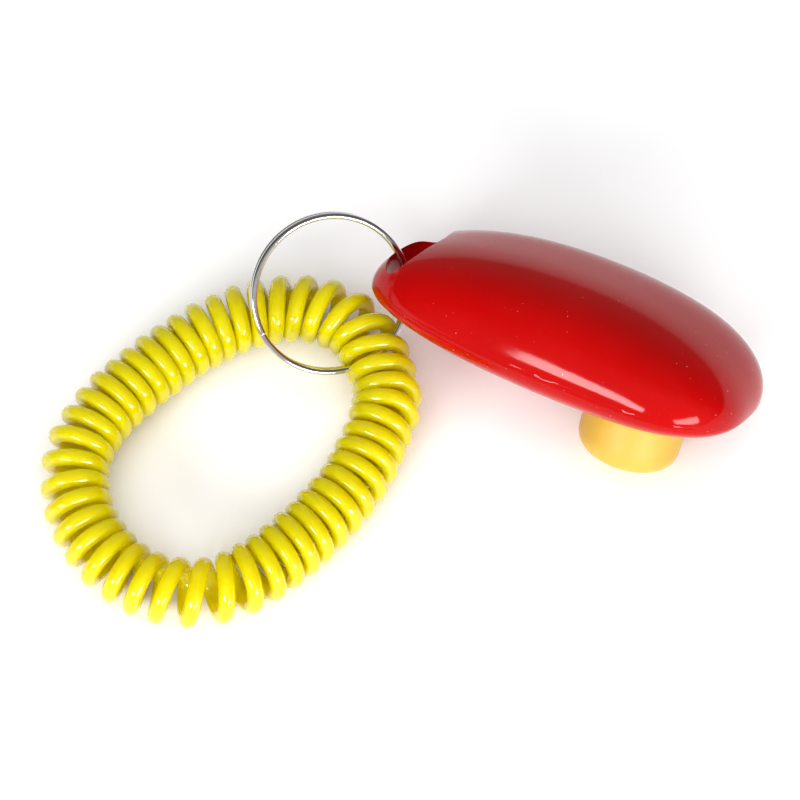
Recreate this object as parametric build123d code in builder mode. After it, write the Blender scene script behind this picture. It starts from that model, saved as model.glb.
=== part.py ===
from build123d import *
import math
import os

# A dog-training clicker: an egg-shaped plastic casing with a domed push button, a split ring
# through the slot at its narrow end, and a wrist band of coiled cord threaded on the ring.
# It lies on its side on a flat surface, z = 0. All dimensions are in millimetres.

# --- casing: its own frame has +X from the slot to the wide end and +Z out of the domed back
CASE_LENGTH = 61.3
CASE_WIDTH = 33.0
DOME_HEIGHT = 12.4
SHELL_DEPTH = 5.9
WALL = 1.8

# outline shapes along the casing: where the peak is, the powers towards the tip and the wide end,
# and the roots of the two sides
WIDTH_SHAPE = (0.737, 2.815, 2.275, 3.242, 2.859)
DOME_SHAPE = (0.502, 2.10, 2.24, 2.0, 2.0)
SHELL_SHAPE = (0.541, 2.06, 2.23, 2.0, 2.0)
DOME_POWER = 2.75
SHELL_POWER = 2.45

# shares of the length where the lofts have their sections
OUTER_STATIONS = [
    0.001, 0.008, 0.028, 0.065, 0.12, 0.2, 0.3, 0.42, 0.54, 0.65, 0.75, 0.84, 0.91, 0.96, 0.987, 0.998,
]
CAVITY_STATIONS = [0.0, 0.12, 0.28, 0.45, 0.62, 0.77, 0.88, 0.95, 0.985, 0.998]
CAVITY_TAPER_START = 0.8
CAVITY_TAPER_LENGTH = 0.2
CAVITY_TAPER_POWER = 2.6
SECTION_STEPS = 12

# where the casing lies: centre of its parting plane, and its heading, nose-up and roll angles
CASE_CENTRE = (8.96, -0.11, 12.77)
CASE_YAW = -26.6
CASE_PITCH = -5.8
CASE_ROLL = -42.7

# slot at the narrow end, and the front wall of the cavity behind it
SLOT_X = -25.9
SLOT_HALF_LENGTH = 3.3
SLOT_HALF_WIDTH = 9.8
CAVITY_FRONT = -20.4
CAVITY_BACK = CASE_LENGTH / 2 - WALL

# push button
BUTTON_X = 13.9
BUTTON_RADIUS = 7.85
BUTTON_FACE = -14.1
BUTTON_EDGE = 3.6
BUTTON_WALL = 1.6
BUTTON_FACE_WALL = 2.4
BUTTON_GAP = 0.3
FLANGE_RADIUS = 9.3
FLANGE_BOTTOM = -1.0
FLANGE_THICKNESS = 1.2
FLANGE_CLEARANCE = 0.3
GUIDE_WALL = 1.3
PLUNGER_RADIUS = 1.6
PLUNGER_GAP = 0.1

# spring leaf that clicks, with the block and screws that hold its fixed end
LEAF_BOTTOM = 2.4
LEAF_THICKNESS = 0.3
LEAF_WIDTH = 11.0
LEAF_START = -14.0
LEAF_END = 22.0
LEAF_CORNER = 1.5
DIMPLE_X = 2.0
DIMPLE_DEPTH = 0.5
DIMPLE_TOP = (3.2, 1.6)
DIMPLE_UNDERSIDE = (2.944, 1.344)
CLAMP_X = -9.5
CLAMP_LENGTH = 8.0
CLAMP_WIDTH = 12.0
CLAMP_THICKNESS = 1.6
CLAMP_MARGIN = 0.5
CLAMP_CORNER = 0.8
CLAMP_CHAMFER = 0.3
SCREW_PLACES = (3.5, -3.5)
SCREW_RADIUS = 0.85
SCREW_CLEARANCE = 0.05
SCREW_HEAD_RADIUS = 1.7
SCREW_HEAD_HEIGHT = 1.1
SCREW_LENGTH = 5.0
RECESS_LENGTH = 2.0
RECESS_WIDTH = 0.45
RECESS_DEPTH = 0.5

# locating pegs on the back cover and their bosses on the front shell
PEG_PLACES = ((-17.0, 5.0), (-17.0, -5.0), (23.8, 8.6), (23.8, -8.6))
PEG_RADIUS = 1.0
PEG_LENGTH = 1.6
BOSS_RADIUS = 2.2
PEG_CLEARANCE = 0.08
PEG_HOLE_SPARE = 0.2
STOP_RADIUS = 1.2
STOP_Y = 8.0
STOP_FLOOR = 2.6

# split ring: two turns of wire
RING_WIRE = 1.0
RING_MEAN_RADIUS = 12.1
RING_PITCH = 1.02
RING_CENTRE = (-26.4, 7.5, 13.5)
RING_TILT = 39.9
RING_TILT_HEADING = -67.5
RING_START_ANGLE = 291.0
RING_TURNS = 1.967

# wrist band: coiled cord, drawn as one tube of its outer diameter
CORD_DIAMETER = 2.6
COIL_DIAMETER = 10.8
COIL_HEIGHT = COIL_DIAMETER / 2
COIL_ROUTE = [
    (-17.8, -5.2), (-20.0, 4.1), (-27.9, 9.2), (-37.4, 8.9), (-46.1, 4.7), (-53.7, -1.2),
    (-60.7, -7.8), (-65.4, -16.1), (-64.3, -25.6), (-59.1, -33.6), (-50.9, -38.4),
    (-41.4, -37.7), (-33.5, -32.3), (-26.7, -25.4), (-21.1, -17.7), (-18.1, -8.5),
]
RUN_SHARE = 0.45
CROSSING = (-19.04, 1.2, 6.3)
CROSSING_SAG = 0.5
PASSAGE_RADIUS = 2.4
SLEEVE_RADIUS = 1.45
SLEEVE_FROM = 116.0
SLEEVE_TURN = 56.0

os.makedirs("parts", exist_ok=True)


def bulge(t, shape):
    """Rounded profile from 0 at t = 0 through 1 at the peak to 0 at t = 1."""
    peak, tip_power, wide_power, tip_root, wide_root = shape
    if t < peak:
        return (1 - ((peak - t) / peak) ** tip_power) ** (1 / tip_root)
    return (1 - ((t - peak) / (1 - peak)) ** wide_power) ** (1 / wide_root)


def half_width(t):
    return CASE_WIDTH / 2 * bulge(t, WIDTH_SHAPE)


def dome_height(t):
    return DOME_HEIGHT * bulge(t, DOME_SHAPE)


def shell_depth(t):
    return SHELL_DEPTH * bulge(t, SHELL_SHAPE)


def half_section(x, width, height, power, side):
    """Closed half-section across the casing at x, above (side 1) or below (side -1) the seam."""
    points = []
    for i in range(SECTION_STEPS + 1):
        angle = math.pi * i / SECTION_STEPS
        y = width * math.copysign(abs(math.cos(angle)) ** (2 / power), math.cos(angle))
        z = side * height * abs(math.sin(angle)) ** (2 / power)
        points.append((y, z))
    with BuildSketch(Plane.YZ.offset(x)) as section:
        with BuildLine():
            Spline(points)
            Line(points[-1], points[0])
        make_face()
    return section.sketch


def outer_sections(side):
    """Sections of the outside of one half of the casing."""
    height = dome_height if side > 0 else shell_depth
    power = DOME_POWER if side > 0 else SHELL_POWER
    return [
        half_section((t - 0.5) * CASE_LENGTH, half_width(t), height(t), power, side)
        for t in OUTER_STATIONS
    ]


def cavity_sections(side):
    """Sections of the hollow inside one half, one wall thickness in from the outside."""
    height = dome_height if side > 0 else shell_depth
    power = DOME_POWER if side > 0 else SHELL_POWER
    span = CAVITY_BACK - CAVITY_FRONT
    sections = []
    for share in CAVITY_STATIONS:
        x = CAVITY_FRONT + share * span
        t = x / CASE_LENGTH + 0.5
        past = max((share - CAVITY_TAPER_START) / CAVITY_TAPER_LENGTH, 0)
        end_taper = math.sqrt(1 - past ** CAVITY_TAPER_POWER)
        width = (half_width(t) - WALL) * end_taper
        depth = (height(t) - WALL) * end_taper
        sections.append(half_section(x, width, depth, power, side))
    return sections


def dome_surface(x, y):
    """Height of the outside of the back cover above the seam at (x, y)."""
    t = x / CASE_LENGTH + 0.5
    return dome_height(t) * (1 - (abs(y) / half_width(t)) ** DOME_POWER) ** (1 / DOME_POWER)


def shell_surface(x, y):
    """Depth of the outside of the front shell below the seam at (x, y)."""
    t = x / CASE_LENGTH + 0.5
    return shell_depth(t) * (1 - (abs(y) / half_width(t)) ** SHELL_POWER) ** (1 / SHELL_POWER)


# --- back cover: the domed half, hollow, with the slot, pegs on columns and travel stops
with BuildPart() as back_cover:
    loft(outer_sections(1))
    loft(cavity_sections(1), mode=Mode.SUBTRACT)
    with BuildSketch(Plane.XY.offset(-1)):
        with Locations((SLOT_X, 0)):
            Ellipse(SLOT_HALF_LENGTH, SLOT_HALF_WIDTH)
    extrude(amount=DOME_HEIGHT + 2, mode=Mode.SUBTRACT)
    for peg_x, peg_y in PEG_PLACES:
        column = dome_surface(peg_x, peg_y) - WALL / 2
        with Locations((peg_x, peg_y, 0)):
            Cylinder(BOSS_RADIUS, column, align=(Align.CENTER, Align.CENTER, Align.MIN))
            Cylinder(PEG_RADIUS, 2 * PEG_LENGTH)
    for stop_y in (STOP_Y, -STOP_Y):
        stop_top = dome_surface(BUTTON_X, stop_y) - WALL / 2
        with Locations((BUTTON_X, stop_y, STOP_FLOOR)):
            Cylinder(STOP_RADIUS, stop_top - STOP_FLOOR, align=(Align.CENTER, Align.CENTER, Align.MIN))

# --- front shell: the button half, hollow, with the slot, button guide, bosses and leaf pedestal
guide_inner = BUTTON_RADIUS + BUTTON_GAP
guide_floor = -shell_surface(BUTTON_X, 0) + WALL / 2
with BuildPart() as front_shell:
    loft(outer_sections(-1))
    loft(cavity_sections(-1), mode=Mode.SUBTRACT)
    with BuildSketch(Plane.XY.offset(1)):
        with Locations((SLOT_X, 0)):
            Ellipse(SLOT_HALF_LENGTH, SLOT_HALF_WIDTH)
    extrude(amount=-SHELL_DEPTH - 2, mode=Mode.SUBTRACT)
    with BuildSketch(Plane.XY.offset(FLANGE_BOTTOM - FLANGE_CLEARANCE)):
        with Locations((BUTTON_X, 0)):
            Circle(guide_inner + GUIDE_WALL)
    extrude(amount=guide_floor - FLANGE_BOTTOM + FLANGE_CLEARANCE)
    with Locations((BUTTON_X, 0, 0)):
        Cylinder(guide_inner, 3 * SHELL_DEPTH, mode=Mode.SUBTRACT)
    for peg_x, peg_y in PEG_PLACES:
        boss = shell_surface(peg_x, peg_y) - WALL / 2
        with Locations((peg_x, peg_y, 0)):
            Cylinder(BOSS_RADIUS, boss, align=(Align.CENTER, Align.CENTER, Align.MAX))
            Cylinder(PEG_RADIUS + PEG_CLEARANCE, 2 * (PEG_LENGTH + PEG_HOLE_SPARE), mode=Mode.SUBTRACT)
    pedestal_floor = -shell_surface(CLAMP_X, CLAMP_WIDTH / 2) + WALL / 2
    with Locations((CLAMP_X, 0, pedestal_floor)):
        Box(
            CLAMP_LENGTH, CLAMP_WIDTH, LEAF_BOTTOM - pedestal_floor,
            align=(Align.CENTER, Align.CENTER, Align.MIN),
        )
    for screw_y in SCREW_PLACES:
        with Locations((CLAMP_X, screw_y, LEAF_BOTTOM)):
            Cylinder(
                SCREW_RADIUS + SCREW_CLEARANCE, 2 * (SCREW_LENGTH - CLAMP_THICKNESS), mode=Mode.SUBTRACT
            )

# --- push button: a domed cap with a flange inside the casing and a plunger that meets the leaf
with BuildPart() as button:
    with BuildSketch(Plane.XY.offset(BUTTON_FACE)):
        with Locations((BUTTON_X, 0)):
            Circle(BUTTON_RADIUS)
    extrude(amount=FLANGE_BOTTOM - BUTTON_FACE)
    fillet(button.edges().group_by(Axis.Z)[0], radius=BUTTON_EDGE)
    with BuildSketch(Plane.XY.offset(FLANGE_BOTTOM)):
        with Locations((BUTTON_X, 0)):
            Circle(FLANGE_RADIUS)
    extrude(amount=FLANGE_THICKNESS)
    with BuildSketch(Plane.XY.offset(FLANGE_BOTTOM + FLANGE_THICKNESS)):
        with Locations((BUTTON_X, 0)):
            Circle(BUTTON_RADIUS - BUTTON_WALL)
    extrude(amount=-(FLANGE_THICKNESS + FLANGE_BOTTOM - BUTTON_FACE - BUTTON_FACE_WALL), mode=Mode.SUBTRACT)
    with BuildSketch(Plane.XY.offset(BUTTON_FACE + BUTTON_WALL)):
        with Locations((BUTTON_X, 0)):
            Circle(PLUNGER_RADIUS)
    extrude(amount=LEAF_BOTTOM - PLUNGER_GAP - BUTTON_FACE - BUTTON_WALL)

# --- click plate: the dimpled spring-steel leaf
with BuildPart() as click_plate:
    leaf_length = LEAF_END - LEAF_START
    with BuildSketch(Plane.XY.offset(LEAF_BOTTOM)):
        with Locations(((LEAF_START + LEAF_END) / 2, 0)):
            RectangleRounded(leaf_length, LEAF_WIDTH, LEAF_CORNER)
        for screw_y in SCREW_PLACES:
            with Locations((CLAMP_X, screw_y)):
                Circle(SCREW_RADIUS + SCREW_CLEARANCE, mode=Mode.SUBTRACT)
    extrude(amount=LEAF_THICKNESS)
    with Locations((DIMPLE_X, 0, LEAF_BOTTOM + LEAF_THICKNESS)):
        Cone(*DIMPLE_TOP, DIMPLE_DEPTH, align=(Align.CENTER, Align.CENTER, Align.MIN))
    with Locations((DIMPLE_X, 0, LEAF_BOTTOM)):
        Cone(
            *DIMPLE_UNDERSIDE, DIMPLE_DEPTH,
            align=(Align.CENTER, Align.CENTER, Align.MIN), mode=Mode.SUBTRACT,
        )

# --- plate clamp: presses the leaf's fixed end onto the pedestal
with BuildPart() as plate_clamp:
    with BuildSketch(Plane.XY.offset(LEAF_BOTTOM + LEAF_THICKNESS)):
        with Locations((CLAMP_X, 0)):
            RectangleRounded(CLAMP_LENGTH - 2 * CLAMP_MARGIN, CLAMP_WIDTH, CLAMP_CORNER)
        for screw_y in SCREW_PLACES:
            with Locations((CLAMP_X, screw_y)):
                Circle(SCREW_RADIUS + SCREW_CLEARANCE, mode=Mode.SUBTRACT)
    extrude(amount=CLAMP_THICKNESS)
    chamfer(plate_clamp.faces().sort_by(Axis.Z)[-1].outer_wire().edges(), length=CLAMP_CHAMFER)

# --- two clamp screws: pan heads with a cross recess, shanks into the pedestal
head_seat = LEAF_BOTTOM + LEAF_THICKNESS + CLAMP_THICKNESS
with BuildPart() as clamp_screws:
    for screw_y in SCREW_PLACES:
        with BuildSketch(Plane.XY.offset(head_seat)):
            with Locations((CLAMP_X, screw_y)):
                Circle(SCREW_HEAD_RADIUS)
        extrude(amount=SCREW_HEAD_HEIGHT)
        with BuildSketch(Plane.XY.offset(head_seat)):
            with Locations((CLAMP_X, screw_y)):
                Circle(SCREW_RADIUS)
        extrude(amount=-SCREW_LENGTH)
        with Locations((CLAMP_X, screw_y, head_seat + SCREW_HEAD_HEIGHT)):
            Box(RECESS_LENGTH, RECESS_WIDTH, 2 * RECESS_DEPTH, mode=Mode.SUBTRACT)
            Box(RECESS_WIDTH, RECESS_LENGTH, 2 * RECESS_DEPTH, mode=Mode.SUBTRACT)

# --- split ring: wire wound nearly twice round, in its own frame with the ring's axis along Z
with BuildPart() as split_ring:
    with BuildLine() as ring_path:
        Helix(pitch=RING_PITCH, height=RING_TURNS * RING_PITCH, radius=RING_MEAN_RADIUS)
    with BuildSketch(Plane(ring_path.edge() @ 0, z_dir=ring_path.edge() % 0)):
        Circle(RING_WIRE / 2)
    sweep(path=ring_path.edge())
ring_pose = (
    Location(RING_CENTRE)
    * Location((0, 0, 0), (0, 0, RING_TILT_HEADING))
    * Location((0, 0, 0), (0, RING_TILT, 0))
    * Location((0, 0, 0), (0, 0, RING_START_ANGLE))
    * Location((0, 0, -RING_TURNS * RING_PITCH / 2))
)

# --- where the ring's wire passes through the band: a straight passage along the wire
ring_centre = Vector(*RING_CENTRE)
ring_axis = Plane(ring_pose).z_dir
outward = Vector(*CROSSING) - ring_centre
outward = (outward - ring_axis * outward.dot(ring_axis)).normalized()
crossing_middle = ring_centre + outward * (RING_MEAN_RADIUS - CROSSING_SAG)
wire_direction = ring_axis.cross(outward).normalized()


def bend_radii(points):
    """Arc radius at each inner corner, as large as its two runs allow."""
    radii = []
    for before, corner, after in zip(points, points[1:], points[2:]):
        run_in = Vector(*corner) - Vector(*before)
        run_out = Vector(*after) - Vector(*corner)
        turn = math.radians(run_in.get_angle(run_out))
        radii.append(RUN_SHARE * min(run_in.length, run_out.length) / math.tan(turn / 2))
    return radii


# --- wrist coil: one fat tube along the band, with the passage that the ring's wire goes through
route = [(x, y, COIL_HEIGHT) for x, y in COIL_ROUTE]
route_radii = bend_radii(route)
with BuildPart() as wrist_coil:
    with BuildLine() as coil_path:
        FilletPolyline(*route, radius=route_radii)
    with BuildSketch(Plane(coil_path.wire() @ 0, z_dir=coil_path.wire() % 0)):
        Circle(COIL_DIAMETER / 2)
    sweep(path=coil_path.wire())
    with BuildSketch(Plane(crossing_middle, z_dir=wire_direction)):
        Circle(PASSAGE_RADIUS)
    extrude(amount=COIL_DIAMETER, both=True, mode=Mode.SUBTRACT)

# --- coil joint: the sleeve over the cord's two ends, low down in the gap between the tube's ends
tube_start = coil_path.wire() @ 0
tube_end = coil_path.wire() @ 1
gap_middle = (tube_start + tube_end) * 0.5
gap_direction = (tube_start - tube_end).normalized()
helix_radius = (COIL_DIAMETER - CORD_DIAMETER) / 2
gap_plane = Plane(gap_middle, x_dir=Vector(gap_direction.Y, -gap_direction.X, 0), z_dir=gap_direction)
with BuildPart() as coil_joint:
    with BuildLine(gap_plane) as sleeve_path:
        CenterArc((0, 0), helix_radius, SLEEVE_FROM, SLEEVE_TURN)
    with BuildSketch(Plane(sleeve_path.edge() @ 0, z_dir=sleeve_path.edge() % 0)):
        Circle(SLEEVE_RADIUS)
    sweep(path=sleeve_path.edge())

# --- labels, places and files
case_pose = (
    Location(CASE_CENTRE)
    * Location((0, 0, 0), (0, 0, CASE_YAW))
    * Location((0, 0, 0), (0, CASE_PITCH, 0))
    * Location((0, 0, 0), (CASE_ROLL, 0, 0))
)
back_cover.part.label = "back_cover"
front_shell.part.label = "front_shell"
button.part.label = "button"
click_plate.part.label = "click_plate"
plate_clamp.part.label = "plate_clamp"
clamp_screws.part.label = "clamp_screws"
split_ring.part.label = "split_ring"
wrist_coil.part.label = "wrist_coil"
coil_joint.part.label = "coil_joint"

for piece in (back_cover, front_shell, button, click_plate, plate_clamp, clamp_screws):
    export_step(piece.part.moved(case_pose), f"parts/{piece.part.label}.step")
export_step(split_ring.part.moved(ring_pose), "parts/split_ring.step")
for piece in (wrist_coil, coil_joint):
    export_step(piece.part, f"parts/{piece.part.label}.step")

path_length = coil_path.wire().length
tube_volume = math.pi * (COIL_DIAMETER / 2) ** 2 * path_length
print("coil tube radii:", [round(radius, 1) for radius in route_radii])
print(f"coil path {path_length:.1f} mm, section x length {tube_volume:.0f} mm3")
print(f"volume less the passage {wrist_coil.part.volume:.0f} mm3")
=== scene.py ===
import math
import bmesh
import bpy
from mathutils import Matrix, Vector


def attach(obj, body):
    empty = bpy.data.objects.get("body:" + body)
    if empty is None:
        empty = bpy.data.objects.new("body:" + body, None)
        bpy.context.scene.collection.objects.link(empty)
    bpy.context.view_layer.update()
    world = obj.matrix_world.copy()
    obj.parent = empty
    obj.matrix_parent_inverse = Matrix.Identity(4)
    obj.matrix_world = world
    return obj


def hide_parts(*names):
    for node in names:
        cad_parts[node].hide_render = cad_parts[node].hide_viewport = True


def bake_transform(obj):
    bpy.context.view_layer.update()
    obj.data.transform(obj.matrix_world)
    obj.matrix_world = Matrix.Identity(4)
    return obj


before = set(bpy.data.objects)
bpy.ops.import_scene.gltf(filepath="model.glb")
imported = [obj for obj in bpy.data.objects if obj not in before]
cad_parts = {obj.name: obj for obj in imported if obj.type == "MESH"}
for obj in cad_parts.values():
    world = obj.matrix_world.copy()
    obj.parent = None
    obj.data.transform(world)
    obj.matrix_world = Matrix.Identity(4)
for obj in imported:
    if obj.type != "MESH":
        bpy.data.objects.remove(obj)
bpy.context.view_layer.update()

# Lengths below are in millimetres and are turned into metres by MM.
MM = 0.001

# --- casing, in its own frame: +X from the slot to the wide end, +Z out of the domed back
CASE_LENGTH = 61.3
CASE_WIDTH = 33.0
DOME_HEIGHT = 12.4
SHELL_DEPTH = 5.9
WALL = 1.8
# Outlines: where the peak is, the powers towards the tip and the wide end, and the roots there.
WIDTH_SHAPE = (0.737, 2.815, 2.275, 3.242, 2.859)
DOME_SHAPE = (0.502, 2.10, 2.24, 2.0, 2.0)
SHELL_SHAPE = (0.541, 2.06, 2.23, 2.0, 2.0)
DOME_POWER = 2.75
SHELL_POWER = 2.45
# Sections are crowded towards both ends by these powers.
OUTER_STEPS = 130
TIP_CROWDING = 2.4
WIDE_CROWDING = 2.2
END_MARGIN = 2e-6
SECTION_STEPS = 72
CAVITY_STEPS = 40
CAVITY_TAPER_START = 0.8
CAVITY_TAPER_LENGTH = 0.2
CAVITY_TAPER_POWER = 2.6
CAVITY_SKIRT = 0.4
CUTTER_REACH = 20
HOLE_SIDES = 128
CASE_EDGE = 0.16
SLOT_X = -25.9
SLOT_HALF_LENGTH = 3.3
SLOT_HALF_WIDTH = 9.8
CAVITY_FRONT = -20.4
CASE_CENTRE = (8.96, -0.11, 12.77)
CASE_TURNS = (-26.6, -5.8, -42.7)

# --- button
BUTTON_X = 13.9
BUTTON_RADIUS = 7.85
BUTTON_FACE = -14.1
BUTTON_EDGE = 3.6
BUTTON_GAP = 0.3
FLANGE_RADIUS = 9.3
FLANGE_BOTTOM = -1.0
FLANGE_TOP = 0.2
PLUNGER_RADIUS = 1.6
PLUNGER_TOP = 2.3
FOOT_ROUND = 0.25
FOOT_FLARE = 0.15
RIM_ROUND = 0.3
BUTTON_SIDES = 160

# --- spring leaf under the plunger, held at its far end
LEAF_BOTTOM = 2.4
LEAF_THICKNESS = 0.3
LEAF_WIDTH = 11.0
LEAF_START = -14.0
LEAF_END = 22.0
LEAF_CORNER = 1.5
DIMPLE_X = 2.0
DIMPLE_RADIUS = 3.2
DIMPLE_DEPTH = 0.5
LEAF_STEPS = (96, 24)

# --- split ring
RING_RADIUS = 12.1
RING_WIRE = 1.0
RING_PITCH = 1.02
RING_TURNS = 1.967
RING_CENTRE = (-26.4, 7.5, 13.5)
RING_TILT = 39.9
RING_HEADING = -67.5
RING_START = 291.0
RING_STEPS = 720
RING_SIDES = 20

# --- wrist coil
CORD = 2.6
COIL_RADIUS = 4.1
COIL_HEIGHT = 5.4
COIL_TURNS = 45
TURN_POINTS = 20
JOINT_STEPS = 24
ROUTE_STEPS = 48
TANGENT_WINDOW = 6
BEND_WINDOW = 24
COIL_ROUTE = [
    (-17.8, -5.2), (-20.0, 4.1), (-27.9, 9.2), (-37.4, 8.9), (-46.1, 4.7), (-53.7, -1.2),
    (-60.7, -7.8), (-65.4, -16.1), (-64.3, -25.6), (-59.1, -33.6), (-50.9, -38.4),
    (-41.4, -37.7), (-33.5, -32.3), (-26.7, -25.4), (-21.1, -17.7), (-18.1, -8.5),
]
SLEEVE_FIRST = -116.0
SLEEVE_LAST = -172.0
SLEEVE_RADIUS = 1.45
CROSSING = (-19.33, 1.46)
CROSSING_WIDTH = 3.4
CROSSING_DIP = 0.12
SPLAY = (-45.5, -38.3)
SPLAY_WIDTH = 6.0
SPLAY_DIP = 0.22
# How far each turn leans along the band, as (share of the band's length, lean).
TURN_LEAN = [
    (0.0, 0.0), (0.08, -0.4), (0.2, -0.1), (0.35, 0.7),
    (0.62, 0.7), (0.70, -0.5), (0.78, 0.1), (1.0, 0.4),
]
# Small differences from turn to turn: in lean, in radius and in how low a smaller turn sits.
LEAN_SWAY = 0.12
LEAN_BEAT = 1.7
TURN_SHRINK = 0.012
SHRINK_BEAT = 2.1
SETTLE = -0.9
SLEEVE_STEPS = 24
SLEEVE_SIDES = 28
SLEEVE_NECK = 0.10
TUBE_CAP = 0.5

# --- view: the camera's distance, its height above the horizon and the width it sees there
VIEW_TARGET = (-15.9, -4.0, 0.0)
VIEW_DISTANCE = 550.0
VIEW_ELEVATION = 65.0
VIEW_WIDTH = 123.08
SENSOR = 36.0

# --- studio, in metres and watts: each light's name, place, size and power
FLOOR_HALF = 3
FILL_LIGHT = ("overhead_fill", (0.0, -0.2, 1.2), (1.8, 1.8), 18)
SOFTBOXES = [
    ("left_softbox", (-0.50, -0.66, 0.36), (0.40, 0.13), 4.4),
    ("right_softbox", (0.34, -0.80, 0.24), (0.50, 0.18), 5.6),
]
WORLD_FRONT = -0.6
WORLD_BACK = 1.0
BUMP_DEPTH = 0.0001

scene = bpy.context.scene


# ------------------------------------------------------------------ camera
def make_camera():
    elevation = math.radians(VIEW_ELEVATION)
    back = Vector((0, -math.cos(elevation), math.sin(elevation)))
    data = bpy.data.cameras.new("camera")
    data.sensor_width = SENSOR
    data.lens = SENSOR * VIEW_DISTANCE / VIEW_WIDTH
    camera = bpy.data.objects.new("camera", data)
    camera.location = (Vector(VIEW_TARGET) + back * VIEW_DISTANCE) * MM
    camera.rotation_euler = (-back).to_track_quat("-Z", "Y").to_euler()
    scene.collection.objects.link(camera)
    scene.camera = camera


# ------------------------------------------------------------------ materials
def new_material(name):
    material = bpy.data.materials.new(name)
    material.use_nodes = True
    nodes = material.node_tree.nodes
    return material, nodes, material.node_tree.links, nodes["Principled BSDF"]


def noise_node(nodes, links, scale, detail=3.0, roughness=0.5):
    """Noise in the object's own coordinates, with scale in features per metre."""
    coordinates = nodes.new("ShaderNodeTexCoord")
    noise = nodes.new("ShaderNodeTexNoise")
    noise.inputs["Scale"].default_value = scale
    noise.inputs["Detail"].default_value = detail
    noise.inputs["Roughness"].default_value = roughness
    links.new(coordinates.outputs["Object"], noise.inputs["Vector"])
    return noise


def ramp_node(nodes, links, source, stops):
    """Colour ramp with (position, colour) stops, driven by a factor output."""
    ramp = nodes.new("ShaderNodeValToRGB")
    while len(ramp.color_ramp.elements) < len(stops):
        ramp.color_ramp.elements.new(0.5)
    for element, (position, colour) in zip(ramp.color_ramp.elements, stops):
        element.position = position
        element.color = (*colour, 1.0)
    links.new(source, ramp.inputs["Fac"])
    return ramp


def grey(value):
    return (value, value, value)


def add_bump(nodes, links, shader, source, strength):
    bump = nodes.new("ShaderNodeBump")
    bump.inputs["Strength"].default_value = strength
    bump.inputs["Distance"].default_value = BUMP_DEPTH
    links.new(source, bump.inputs["Height"])
    links.new(bump.outputs["Normal"], shader.inputs["Normal"])


def red_plastic():
    material, nodes, links, shader = new_material("glossy_red_plastic")
    tint = noise_node(nodes, links, 60, 2)
    stops = [(0.3, (0.37, 0.001, 0.001)), (0.7, (0.41, 0.002, 0.002))]
    colour = ramp_node(nodes, links, tint.outputs["Fac"], stops)
    dust = noise_node(nodes, links, 2600, 1, 0.3)
    specks = ramp_node(nodes, links, dust.outputs["Fac"], [(0.80, grey(0.0)), (0.84, grey(1.0))])
    mix = nodes.new("ShaderNodeMix")
    mix.data_type = "RGBA"
    mix.inputs["B"].default_value = (0.72, 0.30, 0.28, 1.0)
    links.new(specks.outputs["Color"], mix.inputs["Factor"])
    links.new(colour.outputs["Color"], mix.inputs["A"])
    links.new(mix.outputs["Result"], shader.inputs["Base Color"])
    smear = noise_node(nodes, links, 140, 4)
    gloss = ramp_node(nodes, links, smear.outputs["Fac"], [(0.35, grey(0.07)), (0.7, grey(0.12))])
    links.new(gloss.outputs["Color"], shader.inputs["Roughness"])
    shader.inputs["IOR"].default_value = 1.25
    ripple = noise_node(nodes, links, 900, 2)
    add_bump(nodes, links, shader, ripple.outputs["Fac"], 0.03)
    return material


def amber_plastic():
    material, nodes, links, shader = new_material("waxy_amber_plastic")
    tint = noise_node(nodes, links, 160, 3)
    stops = [(0.3, (0.58, 0.36, 0.040)), (0.7, (0.63, 0.40, 0.052))]
    colour = ramp_node(nodes, links, tint.outputs["Fac"], stops)
    links.new(colour.outputs["Color"], shader.inputs["Base Color"])
    grain = noise_node(nodes, links, 3500, 2)
    gloss = ramp_node(nodes, links, grain.outputs["Fac"], [(0.3, grey(0.42)), (0.7, grey(0.55))])
    links.new(gloss.outputs["Color"], shader.inputs["Roughness"])
    shader.inputs["Subsurface Weight"].default_value = 0.25
    shader.inputs["Subsurface Radius"].default_value = (1.0, 0.6, 0.2)
    shader.inputs["Subsurface Scale"].default_value = 0.002
    add_bump(nodes, links, shader, grain.outputs["Fac"], 0.08)
    return material


def yellow_cord():
    material, nodes, links, shader = new_material("translucent_yellow_cord")
    tint = noise_node(nodes, links, 220, 3)
    stops = [(0.25, (0.80, 0.63, 0.0)), (0.75, (0.86, 0.70, 0.001))]
    colour = ramp_node(nodes, links, tint.outputs["Fac"], stops)
    links.new(colour.outputs["Color"], shader.inputs["Base Color"])
    smear = noise_node(nodes, links, 700, 3)
    gloss = ramp_node(nodes, links, smear.outputs["Fac"], [(0.3, grey(0.05)), (0.7, grey(0.09))])
    links.new(gloss.outputs["Color"], shader.inputs["Roughness"])
    shader.inputs["Transmission Weight"].default_value = 0.25
    shader.inputs["IOR"].default_value = 1.46
    shader.inputs["Subsurface Weight"].default_value = 0.9
    shader.inputs["Subsurface Radius"].default_value = (1.0, 0.9, 0.1)
    shader.inputs["Subsurface Scale"].default_value = 0.006
    shader.inputs["Coat Weight"].default_value = 0.3
    shader.inputs["Coat Roughness"].default_value = 0.04
    add_bump(nodes, links, shader, smear.outputs["Fac"], 0.04)
    return material


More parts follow.
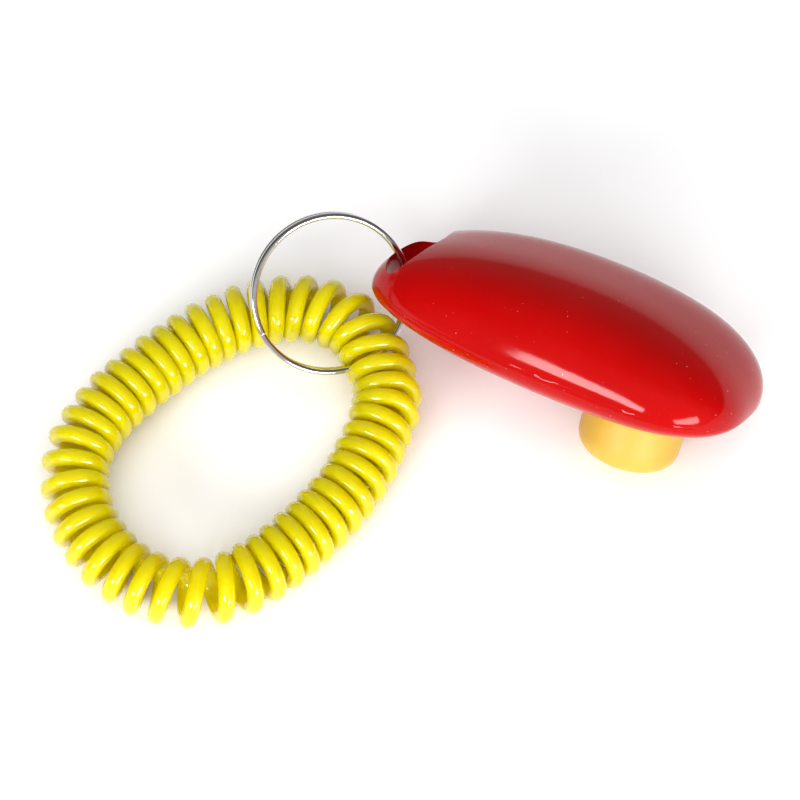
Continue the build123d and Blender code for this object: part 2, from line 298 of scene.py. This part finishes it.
def metal(name, colour, low, high, scale, bump):
    """Metal with a fine grain: scale is its features per metre, low and high its roughness."""
    material, nodes, links, shader = new_material(name)
    shader.inputs["Metallic"].default_value = 1.0
    tint = noise_node(nodes, links, scale / 4, 3)
    darker = tuple(c * 0.86 for c in colour)
    shade = ramp_node(nodes, links, tint.outputs["Fac"], [(0.3, darker), (0.7, colour)])
    links.new(shade.outputs["Color"], shader.inputs["Base Color"])
    grain = noise_node(nodes, links, scale, 4, 0.6)
    gloss = ramp_node(nodes, links, grain.outputs["Fac"], [(0.3, grey(low)), (0.7, grey(high))])
    links.new(gloss.outputs["Color"], shader.inputs["Roughness"])
    add_bump(nodes, links, shader, grain.outputs["Fac"], bump)
    return material


def floor_paper():
    material, nodes, links, shader = new_material("pale_floor")
    tint = noise_node(nodes, links, 12, 4)
    colour = ramp_node(nodes, links, tint.outputs["Fac"], [(0.3, grey(0.95)), (0.7, grey(0.97))])
    links.new(colour.outputs["Color"], shader.inputs["Base Color"])
    shader.inputs["Roughness"].default_value = 0.9
    shader.inputs["Specular IOR Level"].default_value = 0.1
    return material


# ------------------------------------------------------------------ mesh helpers
def add_object(name, data):
    made = bpy.data.objects.new(name, data)
    scene.collection.objects.link(made)
    return made


def mesh_object(name, points, faces):
    mesh = bpy.data.meshes.new(name)
    mesh.from_pydata(points, [], faces)
    mesh.validate()
    made = add_object(name, mesh)
    tidy = bmesh.new()
    tidy.from_mesh(mesh)
    bmesh.ops.remove_doubles(tidy, verts=tidy.verts, dist=1e-5)
    bmesh.ops.recalc_face_normals(tidy, faces=tidy.faces)
    tidy.to_mesh(mesh)
    tidy.free()
    return made


def apply_modifiers(made):
    bpy.context.view_layer.update()
    evaluated = made.evaluated_get(bpy.context.evaluated_depsgraph_get())
    mesh = bpy.data.meshes.new_from_object(evaluated)
    made.modifiers.clear()
    old = made.data
    made.data = mesh
    if old.users == 0:
        bpy.data.meshes.remove(old)
    mesh.name = made.name


def cut(made, cutter):
    modifier = made.modifiers.new("cut", "BOOLEAN")
    modifier.operation = "DIFFERENCE"
    modifier.solver = "EXACT"
    modifier.object = cutter
    apply_modifiers(made)
    bpy.data.objects.remove(cutter)


def round_edges(made, width, segments, angle):
    modifier = made.modifiers.new("round", "BEVEL")
    modifier.width = width
    modifier.segments = segments
    modifier.limit_method = "ANGLE"
    modifier.angle_limit = math.radians(angle)
    modifier.harden_normals = False
    apply_modifiers(made)


def smooth(made, angle):
    for polygon in made.data.polygons:
        polygon.use_smooth = True
    made.data.set_sharp_from_angle(angle=math.radians(angle))


def place(made, matrix):
    """Turns a mesh from millimetres in its own frame into metres in the row frame."""
    made.data.transform(Matrix.Scale(MM, 4) @ matrix)
    made.data.update()


def prism(name, outline, low, high):
    count = len(outline)
    points = [(x, y, low) for x, y in outline] + [(x, y, high) for x, y in outline]
    sides = [(i, (i + 1) % count, (i + 1) % count + count, i + count) for i in range(count)]
    caps = [tuple(range(count))[::-1], tuple(range(count, 2 * count))]
    return mesh_object(name, points, sides + caps)


def ellipse(centre_x, half_x, half_y, count):
    angles = [2 * math.pi * i / count for i in range(count)]
    return [(centre_x + half_x * math.cos(a), half_y * math.sin(a)) for a in angles]


def lathe(name, profile, count):
    """Closed solid of revolution about Z from (radius, height) points that start and end on the axis."""
    points = []
    faces = []
    rows = len(profile)
    for i in range(count):
        angle = 2 * math.pi * i / count
        points += [(r * math.cos(angle), r * math.sin(angle), z) for r, z in profile]
    for i in range(count):
        for j in range(rows - 1):
            a = i * rows + j
            b = (i + 1) % count * rows + j
            faces.append((a, b, b + 1, a + 1))
    return mesh_object(name, points, faces)


def arc(centre, radius, first, last, steps):
    """Points of an arc in a profile, with angles in degrees."""
    angles = [math.radians(first + (last - first) * i / steps) for i in range(steps + 1)]
    return [(centre[0] + radius * math.cos(a), centre[1] + radius * math.sin(a)) for a in angles]


def tube(name, path, radius, sides, cap_steps=4):
    """Closed tube along a list of points, with rounded ends. radius is a number or one per point."""
    radii = radius if isinstance(radius, list) else [radius] * len(path)
    tangents = []
    for i in range(len(path)):
        ahead = path[min(i + 1, len(path) - 1)]
        behind = path[max(i - 1, 0)]
        tangents.append((ahead - behind).normalized())
    rings = []
    for i in range(cap_steps):
        angle = math.pi / 2 * i / cap_steps
        centre = path[0] - tangents[0] * radii[0] * math.cos(angle) * TUBE_CAP
        rings.append((centre, tangents[0], radii[0] * math.sin(angle)))
    for point, tangent, size in zip(path, tangents, radii):
        rings.append((point, tangent, size))
    for i in reversed(range(cap_steps)):
        angle = math.pi / 2 * i / cap_steps
        centre = path[-1] + tangents[-1] * radii[-1] * math.cos(angle) * TUBE_CAP
        rings.append((centre, tangents[-1], radii[-1] * math.sin(angle)))
    side = tangents[0].orthogonal().normalized()
    points = []
    for centre, tangent, size in rings:
        side = (side - tangent * side.dot(tangent)).normalized()
        other = tangent.cross(side)
        for k in range(sides):
            angle = 2 * math.pi * k / sides
            points.append(centre + (side * math.cos(angle) + other * math.sin(angle)) * size)
    faces = []
    for i in range(len(rings) - 1):
        for k in range(sides):
            a = i * sides + k
            b = i * sides + (k + 1) % sides
            faces.append((a, b, b + sides, a + sides))
    return mesh_object(name, points, faces)


def turned(angles):
    """Rotation by heading about Z, then about the new Y, then about the new X, in degrees."""
    z, y, x = (math.radians(a) for a in angles)
    return Matrix.Rotation(z, 4, "Z") @ Matrix.Rotation(y, 4, "Y") @ Matrix.Rotation(x, 4, "X")


# ------------------------------------------------------------------ casing
def bulge(t, shape):
    """Rounded profile from 0 at t = 0 through 1 at the peak to 0 at t = 1."""
    peak, tip_power, wide_power, tip_root, wide_root = shape
    if t < peak:
        return max(1 - ((peak - t) / peak) ** tip_power, 0) ** (1 / tip_root)
    return max(1 - ((t - peak) / (1 - peak)) ** wide_power, 0) ** (1 / wide_root)


def half_width(t):
    return CASE_WIDTH / 2 * bulge(t, WIDTH_SHAPE)


def half_height(t, side):
    if side > 0:
        return DOME_HEIGHT * bulge(t, DOME_SHAPE)
    return SHELL_DEPTH * bulge(t, SHELL_SHAPE)


def rounded_solid(name, stations, side, skirt):
    """Closed solid between half-sections given as (x, width, height), with its flat face at the seam."""
    steps = SECTION_STEPS
    power = DOME_POWER if side > 0 else SHELL_POWER
    points = []
    for x, width, height in stations:
        for j in range(steps + 1):
            angle = math.pi * j / steps
            across = math.copysign(abs(math.cos(angle)) ** (2 / power), math.cos(angle))
            up = abs(math.sin(angle)) ** (2 / power)
            z = side * height * up if 0 < j < steps else -side * skirt
            points.append((x, width * across, z))
    row = steps + 1
    faces = []
    for i in range(len(stations) - 1):
        for j in range(steps):
            a = i * row + j
            faces.append((a, a + 1, a + row + 1, a + row))
        faces.append((i * row, i * row + row, i * row + row + steps, i * row + steps))
    last = (len(stations) - 1) * row
    faces.append(tuple(range(row)))
    faces.append(tuple(range(last, last + row))[::-1])
    return mesh_object(name, points, faces)


def outer_stations(side):
    stations = []
    for i in range(OUTER_STEPS + 1):
        share = i / OUTER_STEPS
        if share < 0.5:
            t = 0.5 * (2 * share) ** TIP_CROWDING
        else:
            t = 1 - 0.5 * (2 - 2 * share) ** WIDE_CROWDING
        t = min(max(t, END_MARGIN), 1 - END_MARGIN)
        stations.append(((t - 0.5) * CASE_LENGTH, half_width(t), half_height(t, side)))
    return stations


def cavity_stations(side):
    stations = []
    span = CASE_LENGTH / 2 - WALL - CAVITY_FRONT
    for i in range(CAVITY_STEPS + 1):
        share = math.sin(math.pi / 2 * i / CAVITY_STEPS)
        x = CAVITY_FRONT + share * span
        t = x / CASE_LENGTH + 0.5
        past = max((share - CAVITY_TAPER_START) / CAVITY_TAPER_LENGTH, 0)
        taper = math.sqrt(max(1 - past ** CAVITY_TAPER_POWER, 1e-6))
        stations.append((x, (half_width(t) - WALL) * taper, (half_height(t, side) - WALL) * taper))
    return stations


def make_casing_half(name, node, side):
    half = rounded_solid(name, outer_stations(side), side, 0.0)
    cut(half, rounded_solid("cavity", cavity_stations(side), side, CAVITY_SKIRT))
    slot = ellipse(SLOT_X, SLOT_HALF_LENGTH, SLOT_HALF_WIDTH, HOLE_SIDES)
    cut(half, prism("slot", slot, -CUTTER_REACH, CUTTER_REACH))
    if side < 0:
        radius = BUTTON_RADIUS + BUTTON_GAP
        hole = ellipse(BUTTON_X, radius, radius, HOLE_SIDES)
        cut(half, prism("button_hole", hole, -CUTTER_REACH, CUTTER_REACH))
    round_edges(half, CASE_EDGE, 3, 40)
    place(half, case_matrix)
    smooth(half, 35)
    half.data.materials.append(RED)
    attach(half, "casing")
    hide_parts(node)
    return half


def make_button():
    inner = BUTTON_RADIUS + FOOT_FLARE
    edge = arc((BUTTON_RADIUS - BUTTON_EDGE, BUTTON_FACE + BUTTON_EDGE), BUTTON_EDGE, -90, 0, 24)
    profile = [(0.0, BUTTON_FACE)] + edge + [(inner, FLANGE_BOTTOM - FOOT_ROUND)]
    profile += arc((inner + FOOT_ROUND, FLANGE_BOTTOM - FOOT_ROUND), FOOT_ROUND, 180, 90, 6)
    profile += arc((FLANGE_RADIUS - RIM_ROUND, FLANGE_BOTTOM + RIM_ROUND), RIM_ROUND, -90, 0, 6)
    profile += arc((FLANGE_RADIUS - RIM_ROUND, FLANGE_TOP - RIM_ROUND), RIM_ROUND, 0, 90, 6)
    profile += arc((PLUNGER_RADIUS - RIM_ROUND, PLUNGER_TOP - RIM_ROUND), RIM_ROUND, 0, 90, 6)
    profile += [(0.0, PLUNGER_TOP)]
    button = lathe("push_button", profile, BUTTON_SIDES)
    place(button, case_matrix @ Matrix.Translation((BUTTON_X, 0, 0)))
    smooth(button, 35)
    button.data.materials.append(AMBER)
    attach(button, "button")
    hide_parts("button")


def make_leaf():
    """The dimpled leaf, drawn in its rest shape. The real leaf bends between the clamp and the plunger
    when the button goes in.
    """
    along, across = LEAF_STEPS
    half = LEAF_WIDTH / 2
    layers = []
    for level in (LEAF_BOTTOM, LEAF_BOTTOM + LEAF_THICKNESS):
        for i in range(along + 1):
            x = LEAF_START + (LEAF_END - LEAF_START) * i / along
            edge = max(LEAF_CORNER - min(x - LEAF_START, LEAF_END - x), 0)
            reach = half - LEAF_CORNER + math.sqrt(LEAF_CORNER ** 2 - edge ** 2)
            for j in range(across + 1):
                y = reach * (2 * j / across - 1)
                away = min(math.hypot(x - DIMPLE_X, y) / DIMPLE_RADIUS, 1)
                layers.append((x, y, level + DIMPLE_DEPTH * (1 - away * away) ** 2))
    row = across + 1
    top = (along + 1) * row
    faces = []
    for i in range(along):
        for j in range(across):
            a = i * row + j
            faces.append((a, a + row, a + row + 1, a + 1))
            faces.append((top + a, top + a + 1, top + a + row + 1, top + a + row))
        for a in (i * row, i * row + across):
            faces.append((a, a + row, top + a + row, top + a))
    for first in (0, along * row):
        for a in range(first, first + across):
            faces.append((a, a + 1, top + a + 1, top + a))
    leaf = mesh_object("spring_leaf", layers, faces)
    place(leaf, case_matrix)
    smooth(leaf, 40)
    leaf.data.materials.append(SPRING)
    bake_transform(leaf)
    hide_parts("click_plate")


# ------------------------------------------------------------------ split ring
def make_ring():
    path = []
    for i in range(RING_STEPS + 1):
        angle = 2 * math.pi * RING_TURNS * i / RING_STEPS
        height = RING_PITCH * RING_TURNS * (i / RING_STEPS - 0.5)
        path.append(Vector((RING_RADIUS * math.cos(angle), RING_RADIUS * math.sin(angle), height)))
    ring = tube("keyring", path, RING_WIRE / 2, RING_SIDES)
    tilted = turned((RING_HEADING, RING_TILT, 0)) @ turned((RING_START, 0, 0))
    place(ring, Matrix.Translation(RING_CENTRE) @ tilted)
    smooth(ring, 60)
    ring.data.materials.append(CHROME)
    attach(ring, "ring")
    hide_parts("split_ring")


# ------------------------------------------------------------------ wrist coil
def route_line():
    """Points along the band's smooth middle line, in metres, from the joint round to the joint."""
    curve = bpy.data.curves.new("route", "CURVE")
    curve.dimensions = "3D"
    spline = curve.splines.new("NURBS")
    spline.points.add(len(COIL_ROUTE) - 1)
    for point, (x, y) in zip(spline.points, COIL_ROUTE):
        point.co = (x * MM, y * MM, COIL_HEIGHT * MM, 1)
    spline.order_u = 3
    spline.use_endpoint_u = True
    spline.resolution_u = ROUTE_STEPS
    holder = add_object("route", curve)
    bpy.context.view_layer.update()
    mesh = bpy.data.meshes.new_from_object(holder.evaluated_get(bpy.context.evaluated_depsgraph_get()))
    points = [vertex.co.copy() for vertex in mesh.vertices]
    bpy.data.meshes.remove(mesh)
    bpy.data.objects.remove(holder)
    joint = (points[0] + points[-1]) / 2
    lead_in = [joint.lerp(points[0], i / JOINT_STEPS) for i in range(JOINT_STEPS)]
    lead_out = [points[-1].lerp(joint, (i + 1) / JOINT_STEPS) for i in range(JOINT_STEPS)]
    return lead_in + points + lead_out


def route_frames(points):
    """Distance, tangent and curvature at each point, smoothed, with left bends counted positive."""
    distances = [0.0]
    for a, b in zip(points, points[1:]):
        distances.append(distances[-1] + (b - a).length)
    tangents = []
    for i in range(len(points)):
        low = max(i - TANGENT_WINDOW, 0)
        high = min(i + TANGENT_WINDOW, len(points) - 1)
        tangents.append((points[high] - points[low]).normalized())
    bends = []
    for i in range(len(points)):
        low = max(i - BEND_WINDOW, 0)
        high = min(i + BEND_WINDOW, len(points) - 1)
        turn = tangents[low].cross(tangents[high]).z
        bends.append(turn / max(distances[high] - distances[low], 1e-6))
    return distances, tangents, bends


def nearest(points, spot):
    """Index of the point on the middle line nearest to an (x, y) spot in millimetres."""
    target = Vector((*spot, COIL_HEIGHT)) * MM
    return min(range(len(points)), key=lambda i: (points[i] - target).length)


def turn_lean(share):
    """How far a turn leans, in millimetres, at a share of the band's length."""
    for (low, first), (high, last) in zip(TURN_LEAN, TURN_LEAN[1:]):
        if share <= high:
            part = (share - low) / (high - low)
            return first + (last - first) * part * part * (3 - 2 * part)
    return TURN_LEAN[-1][1]


def coil_phases(points, distances, bends):
    """Angle of the cord round the middle line at each point: more turns per length on an outer bend."""
    middle = nearest(points, CROSSING)
    splay = nearest(points, SPLAY)
    rates = []
    for distance, bend in zip(distances, bends):
        away = (distance - distances[middle]) / (CROSSING_WIDTH * MM)
        rate = (1 - bend * COIL_RADIUS * MM) * (1 - CROSSING_DIP * math.exp(-away * away))
        away = (distance - distances[splay]) / (SPLAY_WIDTH * MM)
        rates.append(rate * (1 - SPLAY_DIP * math.exp(-away * away)))
    totals = [0.0]
    for i in range(1, len(points)):
        totals.append(totals[-1] + (rates[i] + rates[i - 1]) / 2 * (distances[i] - distances[i - 1]))
    first = math.radians(SLEEVE_FIRST)
    last = math.radians(SLEEVE_LAST) + 2 * math.pi * COIL_TURNS
    per_length = (last - first) / totals[-1]
    turns_before = round((first + per_length * totals[middle]) / (2 * math.pi) - 0.25)
    over_wire = 2 * math.pi * (turns_before + 0.25)
    phases = []
    for i, total in enumerate(totals):
        if i <= middle:
            phases.append(first + (over_wire - first) * total / totals[middle])
        else:
            share = (total - totals[middle]) / (totals[-1] - totals[middle])
            phases.append(over_wire + (last - over_wire) * share)
    return phases


def coil_points():
    points = route_line()
    distances, tangents, bends = route_frames(points)
    phases = coil_phases(points, distances, bends)
    count = COIL_TURNS * TURN_POINTS
    helix = []
    i = 0
    for k in range(count + 1):
        phase = phases[0] + (phases[-1] - phases[0]) * k / count
        while i < len(phases) - 2 and phases[i + 1] < phase:
            i += 1
        share = (phase - phases[i]) / max(phases[i + 1] - phases[i], 1e-9)
        middle = points[i].lerp(points[i + 1], share)
        tangent = tangents[i].lerp(tangents[i + 1], share).normalized()
        out = Vector((tangent.y, -tangent.x, 0)).normalized()
        turn = phase / (2 * math.pi)
        radius = COIL_RADIUS * MM * (1 - TURN_SHRINK * (1 + math.sin(SHRINK_BEAT * turn)))
        lift = (COIL_RADIUS * MM - radius) * SETTLE
        lean = turn_lean(i / len(points)) + LEAN_SWAY * math.sin(LEAN_BEAT * turn)
        swing = tangent * (lean * MM * math.cos(phase))
        rise = Vector((0, 0, math.sin(phase) * radius + lift))
        helix.append(middle + out * math.cos(phase) * radius + rise + swing)
    return helix


def make_coil():
    helix = coil_points()
    curve = bpy.data.curves.new("wrist_cord", "CURVE")
    curve.dimensions = "3D"
    spline = curve.splines.new("NURBS")
    spline.points.add(len(helix) - 1)
    for point, position in zip(spline.points, helix):
        point.co = (*position, 1)
    spline.order_u = 4
    spline.use_endpoint_u = True
    spline.resolution_u = 2
    curve.bevel_depth = CORD / 2 * MM
    curve.bevel_resolution = 7
    curve.use_fill_caps = True
    cord = add_object("wrist_cord", curve)
    curve.materials.append(YELLOW)
    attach(cord, "band")
    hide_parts("wrist_coil")


def make_sleeve():
    """The short sleeve that the cord's two ends are pushed into."""
    start = Vector((*COIL_ROUTE[0], COIL_HEIGHT))
    end = Vector((*COIL_ROUTE[-1], COIL_HEIGHT))
    middle = (start + end) / 2
    along = (start - end).normalized()
    out = Vector((along.y, -along.x, 0))
    path = []
    radii = []
    for i in range(SLEEVE_STEPS + 1):
        angle = math.radians(SLEEVE_LAST + (SLEEVE_FIRST - SLEEVE_LAST) * i / SLEEVE_STEPS)
        path.append(middle + (out * math.cos(angle) + Vector((0, 0, math.sin(angle)))) * COIL_RADIUS)
        radii.append(SLEEVE_RADIUS * (1 - SLEEVE_NECK * abs(2 * i / SLEEVE_STEPS - 1) ** 6))
    sleeve = tube("cord_sleeve", path, radii, SLEEVE_SIDES, 6)
    place(sleeve, Matrix.Identity(4))
    smooth(sleeve, 50)
    sleeve.data.materials.append(YELLOW)
    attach(sleeve, "band")
    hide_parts("coil_joint")


# ------------------------------------------------------------------ floor and light
def make_stage():
    half = FLOOR_HALF
    corners = [(-half, -half, 0), (half, -half, 0), (half, half, 0), (-half, half, 0)]
    floor = mesh_object("floor", corners, [(0, 1, 2, 3)])
    floor.data.materials.append(floor_paper())


def area_light(name, position, size, power):
    """Rectangular light that faces the origin."""
    data = bpy.data.lights.new(name, "AREA")
    data.shape = "RECTANGLE"
    data.size, data.size_y = size
    data.energy = power
    light = add_object(name, data)
    light.location = position
    light.rotation_euler = (-Vector(position)).to_track_quat("-Z", "Y").to_euler()
    return light


def make_world():
    """Dim studio that brightens towards the back, where the paper sweep is."""
    world = bpy.data.worlds.new("studio")
    world.use_nodes = True
    nodes = world.node_tree.nodes
    links = world.node_tree.links
    coordinates = nodes.new("ShaderNodeTexCoord")
    split = nodes.new("ShaderNodeSeparateXYZ")
    links.new(coordinates.outputs["Generated"], split.inputs["Vector"])
    span = nodes.new("ShaderNodeMapRange")
    span.inputs["From Min"].default_value = WORLD_FRONT
    span.inputs["From Max"].default_value = WORLD_BACK
    links.new(split.outputs["Y"], span.inputs["Value"])
    levels = [(0.0, 0.5), (0.3, 0.07), (0.55, 0.10), (0.8, 0.22), (1.0, 0.4)]
    stops = [(position, grey(level)) for position, level in levels]
    ramp = ramp_node(nodes, links, span.outputs["Result"], stops)
    links.new(ramp.outputs["Color"], nodes["Background"].inputs["Color"])
    scene.world = world


def make_lights():
    fill = area_light(*FILL_LIGHT)
    fill.visible_glossy = False
    for softbox in SOFTBOXES:
        area_light(*softbox)


make_camera()
scene.view_settings.view_transform = "Standard"
case_matrix = Matrix.Translation(CASE_CENTRE) @ turned(CASE_TURNS)
RED = red_plastic()
AMBER = amber_plastic()
YELLOW = yellow_cord()
CHROME = metal("polished_chrome", (0.82, 0.80, 0.78), 0.05, 0.12, 1800, 0.05)
SPRING = metal("spring_steel", (0.55, 0.56, 0.58), 0.22, 0.38, 2600, 0.12)
SCREW = metal("zinc_screws", (0.62, 0.63, 0.64), 0.28, 0.42, 3200, 0.15)

make_sleeve()
make_coil()
make_ring()
make_casing_half("casing_back", "back_cover", 1)
make_casing_half("casing_front", "front_shell", -1)
make_button()
make_leaf()
for node, material in (("plate_clamp", RED), ("clamp_screws", SCREW)):
    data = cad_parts[node].data
    data.materials.clear()
    data.materials.append(material)
make_stage()
make_world()
make_lights()
